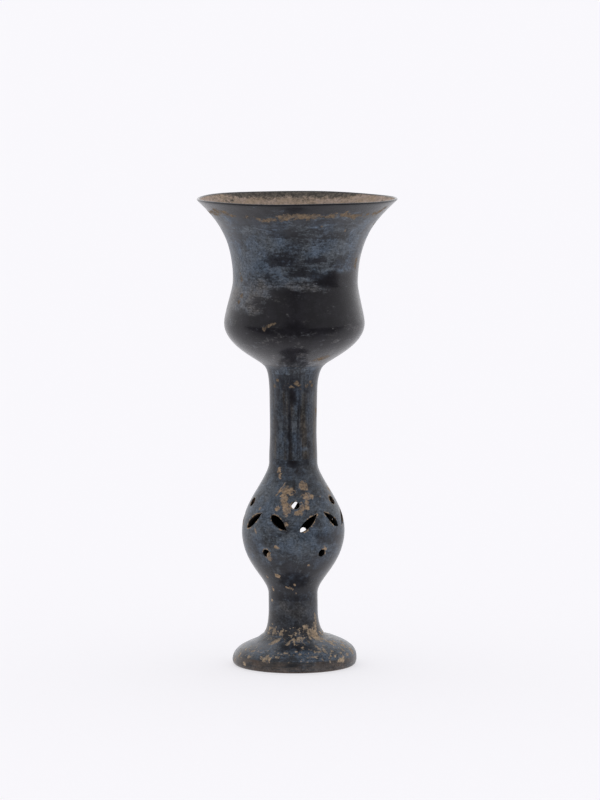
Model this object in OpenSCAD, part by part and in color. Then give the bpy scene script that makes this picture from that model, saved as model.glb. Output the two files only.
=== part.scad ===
// Stem cup of thin black earthenware: a flared bowl on a hollow stem that swells into a pierced bulb,
// on a domed foot. Its five sections are thrown one by one, fitted by spigots and a round seat, and luted
// with slip. Millimetres, +Z up, origin at the centre of the standing ring; the front of the cup is -Y.

/* [Foot] */
// Diameter of the foot across its edge
foot_d = 47.8; // [42:0.1:60]
// Height from the table to the seat of the lower stem
foot_h = 12.5; // [10:0.1:18]
// Height at which the edge of the foot is widest
foot_edge_h = 2; // [1:0.1:5]
// How far the edge turns in where it meets the table
foot_edge_round = 1.4; // [0.4:0.1:3]
// How far the upright edge carries on before the dome leans in
foot_shoulder = 6.4; // [3:0.1:8]
// Reach of the dome's slope out from the seat of the lower stem
foot_slope_reach = 3.4; // [1:0.1:8]
// Drop of the dome over that reach
foot_slope_drop = 3.4; // [1:0.1:4]
// Width of the flat ring that the cup stands on
foot_ring_w = 3.4; // [2:0.1:6]
// Width of the ledge round the socket, under the dome
foot_hub_w = 2.2; // [1:0.1:4]

/* [Lower stem] */
// Diameter of the lower stem, and of the bulb's lower neck
lower_stem_d = 18.7; // [18:0.1:24]
// Length of the lower stem from the foot to the bulb
lower_stem_len = 13.1; // [9:0.1:24]
// Diameter of the lower stem's flare where it sits on the foot
lower_flare_d = 22.4; // [20:0.1:28]
// Height of that flare
lower_flare_h = 8.7; // [4:0.1:11]
// How far the flare leans in at its foot
lower_flare_lean = 1; // [0.2:0.1:1.6]
// How far it rises over that lean
lower_flare_rise = 1; // [0.4:0.1:2]

/* [Bulb] */
// Diameter of the bulb
bulb_d = 39.3; // [34:0.1:50]
// Height of the bulb between its two seams
bulb_h = 54.8; // [48:0.1:70]
// Height of the widest line above the lower seam
bulb_belly_h = 25.9; // [22:0.1:30]
// Straight length of each neck
bulb_neck = 2; // [1.5:0.1:4]
// How far a neck's upright line carries into the curve
bulb_neck_sweep = 5.9; // [2:0.1:8]
// How far the belly's upright line carries into the curve
bulb_belly_sweep = 11.9; // [8:0.1:15]
// Wall of the bulb
bulb_wall = 1.6; // [1:0.1:2.4]

/* [Piercing] */
// Length of a leaf-shaped cut
leaf_l = 8.4; // [5:0.1:9]
// Width of a leaf-shaped cut
leaf_w = 2.8; // [1.5:0.1:3.5]
// Slant of a leaf above the level
leaf_slant = 41; // [30:1:60]
// Height of the leaves above the bulb's widest line
leaf_rise = 5.7; // [2:0.1:8]
// Turn from the middle of a motif to each of its two leaves
leaf_turn = 18; // [15:1:19]
// Diameter of the round holes above the leaves
upper_hole_d = 3.2; // [2:0.1:4]
// Height of those holes above the bulb's widest line
upper_hole_rise = 12.2; // [10:0.1:14]
// Diameter of the round holes below the leaves
lower_hole_d = 2.8; // [2:0.1:4]
// Depth of those holes below the bulb's widest line
lower_hole_drop = 6.2; // [4:0.1:9]
// Rise of the one lower hole that was cut too high, at the back
stray_hole_rise = 4; // [0:0.1:5]

/* [Upper stem] */
// Diameter of the upper stem at the bulb, and of the bulb's upper neck
upper_stem_d = 18.2; // [18:0.1:24]
// Length of the upper stem from the bulb to the edge of the bowl's seat
upper_stem_len = 36; // [28:0.1:60]
// Narrowest diameter of the upper stem
stem_waist_d = 17.7; // [16.4:0.1:22]
// Height of that narrowest line above the bulb
stem_waist_h = 10.4; // [6:0.1:16]
// How far below the edge of the bowl's seat the narrow stem begins to flare
stem_flare_drop = 8.3; // [5:0.1:14]
// Reach of the flare's last slope, in from the edge of the seat
stem_flare_reach = 3.6; // [1:0.1:5]

/* [Bowl] */
// Diameter of the seat where the bowl meets the stem
bowl_seat_d = 24.1; // [21:0.1:30]
// Radius of the round bottom that nests in the seat
bowl_bottom_r = 18.5; // [16:0.1:26]
// Height of the bowl from the edge of its seat to the rim
bowl_h = 62.7; // [56:0.1:90]
// Height of the belly above the edge of the seat
belly_h = 15.8; // [12:0.1:20]
// Diameter of the belly
belly_d = 53.7; // [50:0.1:64]
// Height of the waist above the edge of the seat
waist_h = 31.7; // [28:0.1:40]
// Diameter of the waist
waist_d = 47.7; // [42:0.1:56]
// Diameter of the rim
rim_d = 75.8; // [66:0.1:96]
// Slope of the wall at the rim, above the level
rim_slope = 43; // [30:1:70]
// Length of the flare's last slope
rim_sweep = 14.4; // [8:0.1:18]
// How far the waist's upright line carries into the flare
waist_sweep = 12.1; // [6:0.1:16]
// How far the underside keeps its slope past the seat
underside_sweep = 3.8; // [1:0.1:8]
// How far the belly's upright line carries down into the underside
belly_sweep = 8.2; // [4:0.1:10]
// How far the belly's and the waist's upright lines carry into the wall between them
wall_sweep = 3.4; // [2:0.1:7]
// Thickness of the bowl's floor
bowl_floor = 2.2; // [1.2:0.1:3]
// Wall of the bowl at its belly
bowl_wall = 1.5; // [0.9:0.1:2.2]
// Wall of the bowl at its rim
rim_wall = 0.9; // [0.6:0.1:1.4]

/* [Joints] */
// Bore of the hollow stem
stem_bore_d = 13; // [10:0.1:14]
// Wall of a spigot
spigot_wall = 1; // [0.6:0.1:1.2]
// Length of a spigot in its socket
spigot_len = 4; // [2:0.1:4.2]
// Thickness of the slip that fills a joint
slip = 0.3; // [0.1:0.05:0.4]
// Share of the upper stem's flare that is the stem's own clay, below the slip's fillet
stem_lip_share = 0.7; // [0.55:0.01:0.76]
// Thickness of that fillet at its outer edge, on the bowl
lute_edge = 0.15; // [0.05:0.05:0.3]

/* [Hidden] */
$fn = 96;
clay = "#33353b";
burnished = "#26252a";
slip_grey = "#5c5f63";

// Angle of each motif of two leaves and a hole, from the front, spaced by eye
motif_angles = [1, 71, 138, 202, 288];
// Angle of each lower hole, under the peak between two motifs
lower_hole_angles = [36, 105, 169, 246, 327];
// Which lower hole sits too high
stray_hole = 2;
// Tilt of each row of cuts above the level, as the blade was held
upper_hole_tilt = 16;
leaf_tilt = 6;
lower_hole_tilt = -8;
// How far a cut reaches to each side of the bulb's surface
cut_reach = 4;
// How much flatter the stem's flare is than the bowl where the two meet
flare_ease = 6;

// Points along each curve
curve_steps = 14;
arc_steps = 7;
lip_steps = 6;

bore_r = stem_bore_d / 2;
spigot_r = bore_r + spigot_wall;
socket_r = spigot_r + slip;

// Heights of the seams above the table
lower_stem_z = foot_h;
bulb_z = lower_stem_z + lower_stem_len;
upper_stem_z = bulb_z + bulb_h;
seat_z = upper_stem_z + upper_stem_len;
bulb_belly_z = bulb_z + bulb_belly_h;
belly_z = seat_z + belly_h;
waist_z = seat_z + waist_h;
rim_z = seat_z + bowl_h;

// The round bottom of the bowl, as angles from straight down about its centre
seat_angle = asin(bowl_seat_d / 2 / bowl_bottom_r);
bore_angle = asin(bore_r / (bowl_bottom_r + slip));
bottom_centre_z = seat_z + bowl_bottom_r * cos(seat_angle);
flare_angle = seat_angle - flare_ease;

// Point at share t of a curve with four control points
function on_curve(p, t) =
    pow(1 - t, 3) * p[0] + 3 * pow(1 - t, 2) * t * p[1] + 3 * (1 - t) * t * t * p[2] + pow(t, 3) * p[3];
// Points along a curve from share a to share b
function curve(p, a = 0, b = 1) =
    [for (i = [0:curve_steps]) on_curve(p, a + (b - a) * i / curve_steps)];
// A curve between two points that leaves and arrives upright
function upright(low, high, low_sweep, high_sweep) =
    [low, low + [0, low_sweep], high - [0, high_sweep], high];
// All but the first point of a list
function rest(points) = [for (i = [1:len(points) - 1]) points[i]];
// The points of a list in the other order
function backwards(points) = [for (i = [len(points) - 1:-1:0]) points[i]];
// Points round the bowl's bottom at radius r, from angle a to angle b
function bottom_arc(r, a, b) =
    [for (i = [0:arc_steps]) let (t = a + (b - a) * i / arc_steps)
        [r * sin(t), bottom_centre_z - r * cos(t)]];
// Direction along a list of points at point i
function along(points, i) =
    let (d = points[min(i + 1, len(points) - 1)] - points[max(i - 1, 0)]) d / norm(d);
// Point i moved to the left of its line by a distance
function inset(points, i, distance) =
    let (d = along(points, i)) points[i] + distance * [-d[1], d[0]];

// Outer line of the foot, from the table to the seat of the stem
foot_edge = [for (i = [0:arc_steps]) let (t = 90 * i / arc_steps)
    [foot_d / 2 - foot_edge_round * (1 - sin(t)), foot_edge_h * (1 - cos(t))]];
foot_dome = curve([[foot_d / 2, foot_edge_h], [foot_d / 2, foot_edge_h + foot_shoulder],
    [lower_flare_d / 2 + foot_slope_reach, foot_h - slip - foot_slope_drop],
    [lower_flare_d / 2, foot_h - slip]]);
foot_outer = concat(foot_edge, rest(foot_dome));
// The hollow under the foot, from the standing ring to the ledge round the socket
hollow_r = foot_d / 2 - foot_edge_round - foot_ring_w;
hub_r = socket_r + foot_hub_w;
hub_z = foot_h - slip - spigot_len;
foot_hollow = curve([[hollow_r, 0], [hollow_r, hub_z / 2], [(hollow_r + hub_r) / 2, hub_z],
    [hub_r, hub_z]]);

// Outer line of the lower stem, from the foot to the bulb
lower_flare = curve([[lower_flare_d / 2, lower_stem_z],
    [lower_flare_d / 2 - lower_flare_lean, lower_stem_z + lower_flare_rise],
    [lower_stem_d / 2, lower_stem_z + lower_flare_h / 2],
    [lower_stem_d / 2, lower_stem_z + lower_flare_h]]);

// Outer line of the bulb between its necks
bulb_lower = curve(upright([lower_stem_d / 2, bulb_z + bulb_neck], [bulb_d / 2, bulb_belly_z],
    bulb_neck_sweep, bulb_belly_sweep));
bulb_upper = curve(upright([bulb_d / 2, bulb_belly_z], [upper_stem_d / 2, upper_stem_z - bulb_neck],
    bulb_belly_sweep, bulb_neck_sweep));
bulb_outer = concat(bulb_lower, rest(bulb_upper));
// The bulb's radius by height, for placing cuts on its surface
bulb_r_at = [for (p = bulb_outer) [p[1], p[0]]];

// Outer line of the upper stem, from the bulb to the edge of the bowl's seat
stem_waist = [stem_waist_d / 2, upper_stem_z + stem_waist_h];
stem_lower = curve(upright([upper_stem_d / 2, upper_stem_z], stem_waist,
    stem_waist_h / 3, stem_waist_h / 3));
seat_edge = [bowl_seat_d / 2, seat_z];
fillet_edge = seat_edge + lute_edge * [sin(seat_angle), -cos(seat_angle)];
stem_flare = [stem_waist, [stem_waist_d / 2, seat_z - stem_flare_drop],
    fillet_edge - stem_flare_reach * [cos(flare_angle), sin(flare_angle)], fillet_edge];
stem_lip = on_curve(stem_flare, stem_lip_share);
stem_lip_angle = atan2(stem_lip[0], bottom_centre_z - stem_lip[1]);

// Outer line of the bowl, from the middle of its bottom to the rim
bowl_seat = bottom_arc(bowl_bottom_r, bore_angle, seat_angle);
bowl_underside = curve([seat_edge, seat_edge + underside_sweep * [cos(seat_angle), sin(seat_angle)],
    [belly_d / 2, belly_z - belly_sweep], [belly_d / 2, belly_z]]);
bowl_side = curve(upright([belly_d / 2, belly_z], [waist_d / 2, waist_z], wall_sweep, wall_sweep));
bowl_flare = curve([[waist_d / 2, waist_z], [waist_d / 2, waist_z + waist_sweep],
    [rim_d / 2 - rim_sweep * cos(rim_slope), rim_z - rim_sweep * sin(rim_slope)], [rim_d / 2, rim_z]]);
bowl_outer = concat(bottom_arc(bowl_bottom_r, 0, bore_angle), rest(bowl_seat), rest(bowl_underside),
    rest(bowl_side), rest(bowl_flare));
// The bowl's wall thins from the floor to the belly and on to the rim
wall_at = [[bowl_outer[0][1], bowl_floor], [belly_z, bowl_wall], [rim_z, rim_wall]];
bowl_inner = concat([bowl_outer[0] + [0, bowl_floor]],
    [for (i = [1:len(bowl_outer) - 1]) inset(bowl_outer, i, lookup(bowl_outer[i][1], wall_at))]);
rim_last = len(bowl_outer) - 1;
rim_middle = (bowl_outer[rim_last] + bowl_inner[rim_last]) / 2;
rim_out = bowl_outer[rim_last] - rim_middle;
rim_lip = [for (i = [1:lip_steps - 1]) let (t = 180 * i / lip_steps)
    rim_middle + cos(t) * rim_out + sin(t) * rim_wall / 2 * along(bowl_outer, rim_last)];

// A ring of slip at a tube joint: a flat washer between the shoulders and a sleeve round the spigot.
// up is 1 where the spigot points up from the seam and -1 where it points down.
module tube_lute(seam_z, washer_r, up) {
    color(slip_grey)
        translate([0, 0, seam_z])
            rotate_extrude()
                polygon([[spigot_r, 0], [washer_r, 0], [washer_r, up * slip], [socket_r, up * slip],
                    [socket_r, up * spigot_len], [spigot_r, up * spigot_len]]);
}

module foot() {
    color(clay)
        rotate_extrude()
            polygon(concat(foot_outer, [[socket_r, foot_h - slip], [socket_r, hub_z]],
                backwards(foot_hollow)));
}

module foot_lute() {
    tube_lute(lower_stem_z, lower_flare_d / 2, -1);
}

module lower_stem() {
    color(clay)
        rotate_extrude()
            polygon(concat([[bore_r, lower_stem_z - spigot_len], [spigot_r, lower_stem_z - spigot_len],
                [spigot_r, lower_stem_z]], lower_flare, [[lower_stem_d / 2, bulb_z], [spigot_r, bulb_z],
                [spigot_r, bulb_z + spigot_len], [bore_r, bulb_z + spigot_len]]));
}

module lower_bulb_lute() {
    tube_lute(bulb_z, lower_stem_d / 2, 1);
}

// Places a cut on the bulb's surface at an angle from the front and a height, and tilts it
module cut_at(angle, height, tilt) {
    rotate([0, 0, angle])
        translate([0, -lookup(height, bulb_r_at), height])
            rotate([90 - tilt, 0, 0])
                translate([0, 0, -cut_reach])
                    children();
}

// A leaf with two pointed ends, cut by two round sweeps of the blade
module leaf(slant) {
    sweep_r = (leaf_l * leaf_l + leaf_w * leaf_w) / (4 * leaf_w);
    linear_extrude(2 * cut_reach)
        rotate(slant)
            intersection() {
                translate([0, sweep_r - leaf_w / 2])
                    circle(sweep_r);
                translate([0, leaf_w / 2 - sweep_r])
                    circle(sweep_r);
            }
}

module piercing() {
    for (angle = motif_angles) {
        for (side = [-1, 1])
            cut_at(angle + side * leaf_turn, bulb_belly_z + leaf_rise, leaf_tilt)
                leaf(side * leaf_slant);
        cut_at(angle, bulb_belly_z + upper_hole_rise, upper_hole_tilt)
            cylinder(d = upper_hole_d, h = 2 * cut_reach);
    }
    for (i = [0:len(lower_hole_angles) - 1])
        cut_at(lower_hole_angles[i],
                bulb_belly_z - lower_hole_drop + (i == stray_hole ? stray_hole_rise : 0), lower_hole_tilt)
            cylinder(d = lower_hole_d, h = 2 * cut_reach);
}

module bulb() {
    color(clay)
        difference() {
            rotate_extrude()
                polygon(concat([[0, bulb_z + slip], [lower_stem_d / 2, bulb_z + slip]], bulb_outer,
                    [[upper_stem_d / 2, upper_stem_z - slip], [0, upper_stem_z - slip]]));
            rotate_extrude()
                polygon(concat([[0, bulb_outer[0][1]]],
                    [for (i = [0:len(bulb_outer) - 1]) inset(bulb_outer, i, bulb_wall)],
                    [[0, bulb_outer[len(bulb_outer) - 1][1]]]));
            translate([0, 0, bulb_z])
                cylinder(r = socket_r, h = bulb_h);
            piercing();
        }
}

module upper_bulb_lute() {
    tube_lute(upper_stem_z, upper_stem_d / 2, -1);
}

module upper_stem() {
    color(clay)
        rotate_extrude()
            polygon(concat([[bore_r, upper_stem_z - spigot_len], [spigot_r, upper_stem_z - spigot_len],
                [spigot_r, upper_stem_z]], stem_lower, rest(curve(stem_flare, 0, stem_lip_share)),
                backwards(bottom_arc(bowl_bottom_r + slip, bore_angle, stem_lip_angle))));
}

// The slip under the bowl, with the fillet that hides the stem's edge
module bowl_lute() {
    color(slip_grey)
        rotate_extrude()
            polygon(concat(bottom_arc(bowl_bottom_r + slip, bore_angle, stem_lip_angle),
                curve(stem_flare, stem_lip_share, 1), backwards(bowl_seat)));
}

module bowl() {
    color(burnished)
        rotate_extrude()
            polygon(concat(bowl_outer, rim_lip, backwards(bowl_inner)));
}

foot();
foot_lute();
lower_stem();
lower_bulb_lute();
bulb();
upper_bulb_lute();
upper_stem();
bowl_lute();
bowl();
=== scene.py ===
"""Stem cup of thin black earthenware: nine turned and luted pieces, their worn finishes and a plain studio."""

from math import asin, atan2, cos, hypot, pi, radians, sin

import bmesh
import bpy
from bpy.props import FloatProperty, FloatVectorProperty, IntProperty, PointerProperty
from mathutils import Color, Euler, Matrix, Vector, noise
from mathutils.kdtree import KDTree


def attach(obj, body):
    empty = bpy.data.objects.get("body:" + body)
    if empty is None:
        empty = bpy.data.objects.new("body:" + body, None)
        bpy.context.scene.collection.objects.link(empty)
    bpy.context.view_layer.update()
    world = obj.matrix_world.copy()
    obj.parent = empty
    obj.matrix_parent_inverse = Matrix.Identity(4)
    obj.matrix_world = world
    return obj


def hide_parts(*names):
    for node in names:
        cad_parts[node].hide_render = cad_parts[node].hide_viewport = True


bl_info = {
    "name": "Stem cup",
    "version": (1, 0, 0),
    "blender": (4, 5, 0),
    "location": "3D View > Sidebar > Stem cup",
    "description": "Turns the pieces of a pierced stem cup, gives them their finishes and sets up a plain studio",
    "category": "Object",
}

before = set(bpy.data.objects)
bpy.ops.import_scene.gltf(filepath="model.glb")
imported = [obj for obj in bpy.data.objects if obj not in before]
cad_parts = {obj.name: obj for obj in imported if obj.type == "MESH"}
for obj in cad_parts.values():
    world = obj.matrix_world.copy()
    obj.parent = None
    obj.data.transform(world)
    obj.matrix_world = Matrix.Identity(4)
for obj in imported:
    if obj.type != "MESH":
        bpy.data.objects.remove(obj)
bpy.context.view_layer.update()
MM = 0.001
# Height by which the finishes are zoned, distance at which points are merged, and angle past which an edge is sharp
CUP_HEIGHT = 0.18
MERGE = 1e-7
SHARP = radians(38)
# Longest stretch between two points of a line before it is spun
LONGEST = 1.2 * MM

# Piercings: how far each motif of two leaves and a hole, and each lower hole, is turned from the front, the lower
# holes' widths as shares, which of them was cut too high, and how the blade was tilted for each kind of cut
MOTIF_TURNS = (1, 71, 138, 202, 288)
LOWER_HOLE_TURNS = (36, 105, 168, 246, 327)
LOWER_HOLE_WIDTHS = (1.1, 1.0, 1.0, 0.95, 1.15)
STRAY_HOLE = 2
UPPER_HOLE_TILT = 16
LEAF_TILT = 6
LOWER_HOLE_TILT = -8
# How far a cut reaches to each side of the wall's face
CUT_REACH = 4 * MM
# How far from a cut's edge, and from the rim inside the bowl, distances are kept for the finishes, in millimetres
EDGE_REACH, INSIDE_REACH = 5.0, 60.0
# Lump of earth left in one lower hole: turn in degrees, height, and half sizes across, up and out in millimetres,
# how deep it sits, and its coarse and fine roughness as a share and a frequency
LUMP = (-30.5, 44.3, (1.0, 1.2, 0.9))
LUMP_SUNK = 0.7 * MM
LUMP_COARSE, LUMP_FINE = (0.22, 1.7), (0.1, 4.1)
# A leaf's line: how far its flat top carries towards each end, how straight its tips are and how blunt they can be
LEAF_TOP, LEAF_TIP, LEAF_BLUNT = 0.45, 0.6, 0.35
# How the hand-cut leaves differ, by motif and side: turn in degrees, rise in millimetres, length and width
# as shares, where the leaf is widest as a share of its half length, how blunt its first end is, and how many
# degrees steeper it stands
HAND_LEAVES = {
    (0, -1): (0.0, 0.0, 1.04, 1.2, -0.25, 0.45, 0), (0, 1): (-0.5, 0.1, 1.17, 1.03, -0.25, 0.95, 0),
    (1, -1): (-1.5, 0.8, 1.12, 1.1, 0.35, 0.0, 0), (1, 1): (-6.0, 1.0, 1.2, 1.1, 0.0, 0.2, 0),
    (2, -1): (0.5, -0.2, 1.0, 1.0, 0.0, 0.2, 3), (2, 1): (-3.0, 1.2, 0.95, 0.9, 0.1, 0.2, -2),
    (3, -1): (-2.9, 1.2, 1.1, 0.6, 0.0, 0.0, 17), (3, 1): (0.5, 0.2, 1.05, 1.0, 0.1, 0.1, 0),
    (4, -1): (0.0, 0.3, 0.97, 1.05, -0.1, 0.3, 2), (4, 1): (0.6, 0.2, 1.2, 1.15, -0.2, 0.2, 0),
}
# How the upper holes differ: turn in degrees, rise in millimetres and width as a share
HAND_HOLES = (
    (2.0, 0.2, 1.0), (-3.0, 0.8, 1.1), (1.0, -0.3, 0.95), (-1.0, 0.4, 1.0), (0.0, 0.0, 1.12),
)

# How far the hand-made cup leans to the right of its true axis, and how far it swells, by height, in millimetres
LEAN = (
    (0, 0), (5, 0), (20, -0.5), (32, -0.62), (40, -0.6), (58, -0.47), (80, -0.5), (108, -0.45), (118, -0.2),
    (126, -0.05), (135, -0.05), (155, 0.4), (166, 0.58), (180, 1.0),
)
SWELL = (
    (0, 0.05), (12, 0.18), (25, 0.12), (37, 0.27), (46, 0.1), (58, 0.2), (69, 0.08), (75, 0.2), (87, 0.09),
    (100, 0.17), (112, 0), (130, 0.08), (155, 0.1), (168, -0.05), (180, 0.38),
)
# How far it is oval and three-sided, as shares of its radius, and the height at which that sets in
OVAL, THREE_SIDED = 0.0022, 0.0012
ROUND_ZONE = ((0, 0), (10, 1))
# How far the rim is lifted all round, at the front and in waves, in millimetres, and the heights where it is
RIM_LIFT, RIM_FRONT, RIM_WAVE = 0.33, 0.1, 0.16
RIM_ZONE = ((160, 0), (180, 1))
# How far the foot's dome is tilted up at the right and down at the left, and the heights and radii where it is
DOME_RIGHT, DOME_LEFT = 0.85, 0.45
DOME_ZONE = ((0, 0), (4, 1), (9.5, 1), (12.2, 0))
DOME_REACH = ((11, 0), (15, 1))

# How deep into the wall a mark reaches, and how far noise moves its outline
MARK_DEPTH = 4 * MM
MARK_RAGGED = 3.4 * MM
# How much dark marks take from the bloom and pale marks add to it, on blue-grey clay and on worn stems
DARK_GAIN, PALE_GAIN, WORN_GAIN = -0.3, 0.5, 0.15
# Marks on the surface: turn from the front in degrees, height, half width and half height in millimetres,
# and, where a mark leans, the angle in degrees by which its right end is raised
BOWL_EARTH = (
    (-7, 175.0, 3.2, 1.7), (2, 175.5, 6.0, 1.2), (10, 175.5, 3.2, 1.0), (-18, 173.9, 3.6, 0.7, 8),
    (-25, 174.2, 1.2, 0.8), (21, 175.3, 3.4, 1.0), (32, 175.6, 2.8, 0.9), (39, 175.1, 4.2, 0.8),
    (25, 176.5, 0.9, 0.5), (32, 176.6, 0.8, 0.5), (-52, 176.0, 2.6, 1.3), (-60, 176.2, 3.0, 1.2),
    (-68, 175.4, 3.0, 1.2), (-47, 175.2, 1.0, 0.8), (52, 175.5, 1.0, 0.6), (77, 170.8, 0.9, 0.9),
    (67, 176.7, 3.0, 0.9, 35), (18, 171.3, 0.6, 0.6), (39, 169.3, 0.6, 0.6), (-59, 149.8, 0.9, 1.4),
    (-61, 152.2, 0.5, 0.5), (-55, 143.9, 1.0, 1.0), (-58, 141.5, 0.9, 0.9), (69, 155.9, 1.2, 2.2),
    (-20, 133.6, 1.8, 0.8, 25), (-25, 132.2, 0.7, 0.6), (36.5, 119.9, 4.2, 1.1, 12),
)
BOWL_DARK = (
    (0, 167.6, 4.5, 5.2), (-9, 158.1, 7.4, 4.0), (30, 167.3, 7.4, 2.2), (2, 153.5, 6.5, 2.5),
    (-18, 146.5, 4.0, 2.0), (16, 158.5, 6.0, 2.0),
)
# Pale marks on the bowl: most are paler blotches of bloom, but the broad ones on its left and right flanks above the
# waist are painted highlights
BOWL_BLOOM_AND_HIGHLIGHTS = (
    (-25, 165.0, 8.7, 2.3), (30, 162.6, 7.6, 3.5), (52, 153.8, 4.1, 2.3), (-42, 157.0, 6.4, 4.7),
    (14, 147.6, 7.6, 1.5), (54, 167.3, 3.5, 3.5), (-52, 143.0, 5.0, 6.0), (-72, 160.0, 7.0, 12.0),
    (-60, 142.0, 4.0, 3.5), (-64, 152.0, 6.0, 7.0), (-34, 147.0, 4.0, 3.0), (-40, 139.0, 5.0, 2.5),
)
STEM_EARTH = (
    (-49, 108.5, 1.1, 0.9), (-40, 110.9, 0.8, 1.0), (6, 109.9, 1.1, 0.9, 40), (-3, 108.4, 1.1, 0.5),
    (12, 108.9, 0.9, 0.4), (34, 108.9, 0.8, 0.8), (50, 108.7, 0.8, 0.8), (75, 97.9, 0.9, 2.4),
    (42, 110.2, 0.6, 0.7),
)
STEM_DARK = (
    (-9, 90.0, 0.5, 13.0), (-1, 104.5, 1.4, 3.0), (11, 94.0, 0.4, 10.0), (-48, 94.0, 1.2, 5.0),
)
STEM_PALE = (
    (3, 89.0, 1.7, 13.0), (-36, 114.1, 1.0, 1.0), (-28, 86.0, 1.2, 8.0), (30, 84.5, 2.0, 1.0),
)
LOWER_STEM_EARTH = (
    (61, 18.3, 0.7, 2.4), (54, 15.5, 1.0, 1.8), (28, 15.7, 1.2, 1.0), (32, 13.8, 0.6, 1.2), (-56, 14.6, 0.7, 0.7),
    (-45, 13.4, 1.1, 1.4), (-27, 13.5, 0.7, 1.1), (-59, 25.8, 0.5, 0.9), (45, 13.0, 2.5, 1.7),
)
BULB_EARTH = (
    (-33, 76.0, 0.9, 1.6, 10), (-28, 74.0, 0.5, 1.2), (-22, 69.5, 0.5, 3.2, -28), (-9, 68.9, 3.3, 1.7),
    (-14, 66.2, 1.7, 3.4), (-9, 62.6, 1.8, 2.6), (18, 70.6, 1.9, 1.9), (22, 66.8, 2.8, 1.5), (18, 64.1, 1.2, 2.6),
    (11, 63.1, 0.7, 2.1), (7, 61.0, 1.9, 1.1), (-47, 53.7, 0.5, 1.3, 20), (-47, 61.9, 0.5, 0.5),
    (-21, 62.6, 1.0, 0.9), (-8, 57.0, 0.5, 0.7), (-19, 47.9, 1.1, 0.6), (21, 40.9, 0.5, 0.5), (-30, 43.6, 1.4, 1.8),
    (-26, 35.9, 1.3, 0.9, -30), (-47, 35.1, 0.5, 0.5), (-9, 31.2, 1.6, 0.45, -25), (3, 32.4, 0.5, 0.5),
    (0, 30.4, 0.4, 0.4), (7, 28.8, 0.4, 0.4), (-48, 30.2, 0.6, 1.3), (68, 64.9, 1.7, 1.9), (80, 68.2, 0.9, 1.2),
    (40, 47.0, 0.7, 1.0, 30),
)
BULB_DARK = (
    (31, 50.6, 3.3, 2.6), (56, 50.9, 4.5, 3.6), (8, 76.2, 0.8, 1.0), (-3, 79.6, 1.6, 2.4),
    (-36, 67.0, 0.5, 3.2, -25), (-42, 68.0, 0.4, 2.6, -30), (-28, 68.5, 0.4, 3.6, -22), (2, 70.0, 0.6, 4.0, 8),
    (-14, 52.5, 1.2, 0.7), (-24, 54.0, 0.9, 0.6),
)
# Pale marks on the bulb: the broad ones on its upper left and on its right shoulder are painted highlights, and the
# one at the front of its belly is paler bloom
BULB_BLOOM_AND_HIGHLIGHTS = (
    (-42, 60.0, 7.0, 6.0), (5, 49.5, 9.0, 4.0), (-50, 67.5, 8.0, 6.5), (55, 60.0, 6.0, 5.0),
)
FOOT_EARTH = (
    (-45, 13.4, 0.8, 1.1), (-32, 10.5, 2.2, 0.8, 20), (-7, 10.4, 1.6, 0.35, 35), (0, 10.5, 0.35, 1.5, 20),
    (8, 11.4, 1.1, 1.1), (14, 11.1, 0.4, 1.5, 10), (10, 9.0, 0.4, 0.5), (45, 11.6, 2.2, 1.6),
    (50, 11.1, 2.2, 0.7, -25), (54, 9.4, 0.9, 1.5, 30), (29, 8.6, 0.5, 0.9, 30), (34, 7.7, 0.7, 1.1),
    (20, 6.2, 1.8, 0.4, 10), (37, 6.4, 0.4, 0.3), (49, 8.0, 0.4, 0.3), (49, 4.1, 2.6, 1.1, 20), (73, 6.3, 1.5, 1.8),
    (-53, 2.1, 1.3, 0.7, -30), (-67, 4.9, 0.7, 0.7, 40), (-51, 6.9, 1.8, 0.4, 15), (-50, 5.1, 1.1, 0.7),
    (-29, 5.3, 2.2, 0.9), (-24, 5.1, 0.7, 1.3, -10), (-74, 2.6, 0.7, 1.5), (35, 3.9, 0.4, 0.4),
    (24, 10.5, 0.5, 0.4), (38, 9.3, 0.8, 0.5, 20), (58, 7.2, 0.6, 0.8), (64, 9.8, 0.8, 0.6),
    (43, 5.6, 0.9, 0.4, 15), (30, 11.8, 0.7, 0.5), (60, 5.5, 1.2, 0.6), (68, 8.2, 1.5, 0.7), (57, 9.9, 1.2, 0.5),
    (42, 7.4, 0.9, 0.4), (52, 6.4, 1.0, 0.4), (75, 9.0, 1.0, 0.9),
)
FOOT_PALE = (
    (-32, 7.1, 3.7, 1.5), (66, 6.5, 5.0, 3.0), (55, 7.0, 5.0, 2.5), (40, 8.5, 4.0, 1.5), (30, 6.3, 5.0, 1.6),
    (48, 5.5, 6.0, 1.8),
)
FOOT_DARK = (
    (5, 3.0, 12.0, 1.3), (-1, 8.6, 8.0, 3.4), (-72, 7.0, 6.0, 4.0),
)

# Heights in millimetres: the line of earth under the rim, where the bowl's grey film ends, where the stem's wear
# turns blue, where the upright edge of the foot ends, where it is red from the table, and where the bowl's zones
# begin and stop tilting
RIM_LINE = 175.2
FILM_END = (144.0, 152.0)
BLUE_WEAR = (104.0, 109.0)
EDGE_END = (4.0, 4.6)
TABLE_RED = (0.1, 1.1)
TILT_FROM, TILT_TO = (125, 135), (162, 174)
# Crumbs where the lower stem meets the foot: from, to and how many
FOOT_CRUMBS = (8, 18.5, 0.55)
# Radius of the ring on which the wheel's streaks are drawn, and the warmer and cooler tints of the worn clay
STREAK_RING = 0.025
WARM_TINT, COOL_TINT = (1.08, 1.0, 0.9, 1), (0.94, 1.0, 1.06, 1)
# Gloss of the thin burnished skin and of the clay under it, how much rougher bare clay and soil are, and the
# strength and depth of the relief
SKIN_ROUGHNESS, CLAY_GLOSS, BARE_ROUGHER = 0.16, 0.12, 0.35
RELIEF_STRENGTH, RELIEF_DEPTH = 0.25, 0.4 * MM
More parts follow.
